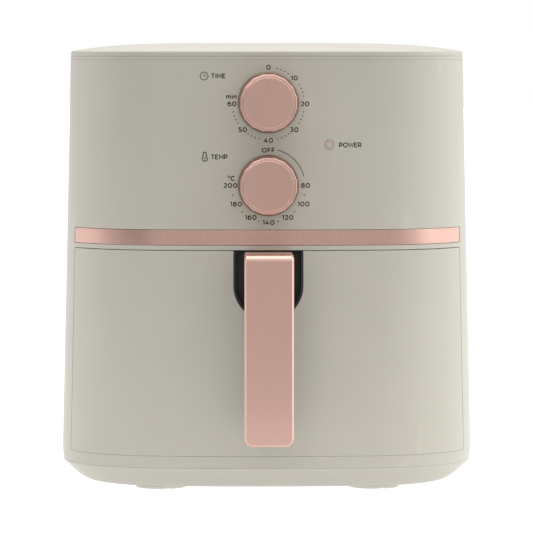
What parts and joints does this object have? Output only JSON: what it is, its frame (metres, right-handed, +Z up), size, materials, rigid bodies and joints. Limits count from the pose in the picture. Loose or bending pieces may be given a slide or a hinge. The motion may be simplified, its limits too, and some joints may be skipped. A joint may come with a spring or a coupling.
{
  "type": "air fryer",
  "caption": "Free-standing dial air fryer: rounded cream housing with a rose-gold band, turning knobs, a fan-blown heater and a pull-out drawer holding a pan and a crisper plate.",
  "frame": {"origin": "middle of the whole footprint, handle and rear vent included, on the surface it stands on", "axes": "+Z up, the front with the handle faces -Y, +X to the right as seen from the front"},
  "size_m": [0.299, 0.35, 0.3213],
  "materials": {
    "cream_shell": "fine satin grain, warm grey-cream",
    "rose_gold": "satin rose-gold anodised with bright chamfers",
    "black_plastic": "satin black moulding",
    "grey_plastic": "dark grey moulding",
    "rubber_foot": "matte",
    "silicone": "matte silicone",
    "bright_steel": "brushed",
    "sheet_steel": "aluminised sheet",
    "nonstick": "non-stick coating with fine speckle",
    "copper": "enamelled winding and tube",
    "fan_aluminium": "rolled",
    "bush_brass": "sintered",
    "ceramic_white": "off-white heat-resistant moulding",
    "lamp_lens": "clear tinted ring"
  },
  "bodies": {
    "housing": {"main_housing": "cream_shell", "top_cover": "cream_shell", "trim_band": "rose_gold", "base_tray": "cream_shell", "foot_front_left": "rubber_foot", "foot_front_right": "rubber_foot", "foot_rear_left": "rubber_foot", "foot_rear_right": "rubber_foot", "rear_vent_grille": "grey_plastic", "air_duct": "sheet_steel", "cord_gland": "black_plastic", "timer_collar": "rose_gold", "temperature_collar": "rose_gold", "timer_unit": "ceramic_white", "timer_bell": "bush_brass", "thermostat_unit": "ceramic_white", "thermostat_capillary": "copper", "control_bracket": "sheet_steel", "power_lens": "lamp_lens", "power_lamp": "ceramic_white", "inner_chamber": "sheet_steel", "drawer_rail_left": "sheet_steel", "drawer_rail_right": "sheet_steel", "safety_switch": "black_plastic", "heat_reflector": "sheet_steel", "heating_element": "bright_steel", "element_clip_1": "bright_steel", "element_clip_2": "bright_steel", "element_clip_3": "bright_steel", "heater_guard": "bright_steel", "thermal_fuse": "ceramic_white", "terminal_block": "ceramic_white", "motor_bridge": "sheet_steel", "motor_core": "bright_steel", "motor_coil": "copper", "motor_end_bracket": "sheet_steel", "shaft_bush": "bush_brass"},
    "fan_rotor": {"hot_fan": "fan_aluminium", "cooling_fan": "fan_aluminium", "motor_shaft": "bright_steel", "motor_rotor": "bright_steel"},
    "drawer": {"drawer_front": "cream_shell", "drawer_front_inner": "grey_plastic", "handle_recess": "black_plastic", "handle_core": "black_plastic", "handle_cover": "rose_gold", "handle_screw_left": "bright_steel", "handle_screw_right": "bright_steel", "pan": "nonstick", "pan_bracket": "bright_steel"},
    "plate": {"crisper_plate": "nonstick", "plate_bumper_front": "silicone", "plate_bumper_right": "silicone", "plate_bumper_rear": "silicone", "plate_bumper_left": "silicone"},
    "timer_dial": {"timer_knob": "rose_gold", "timer_shaft": "bright_steel"},
    "temperature_dial": {"temperature_knob": "rose_gold", "thermostat_shaft": "bright_steel"}
  },
  "joints": [
    {"name": "drawer_slide", "type": "slide", "parent": "housing", "child": "drawer", "axis": [0, -1, 0], "range_m": [0, 0.27]},
    {"name": "plate_lift", "type": "slide", "parent": "drawer", "child": "plate", "axis": [0, 0, 1], "range_m": [0, 0.1]},
    {"name": "timer_knob_turn", "type": "hinge", "parent": "housing", "child": "timer_dial", "pos_m": [0, -0.133, 0.2788], "axis": [0, 1, 0], "range_deg": [0, 270]},
    {"name": "temperature_knob_turn", "type": "hinge", "parent": "housing", "child": "temperature_dial", "pos_m": [0, -0.133, 0.22], "axis": [0, 1, 0], "range_deg": [0, 270]},
    {"name": "fan_spin", "type": "hinge", "parent": "housing", "child": "fan_rotor", "pos_m": [0, 0.0095, 0.19], "axis": [0, 0, 1], "continuous": true}
  ]
}
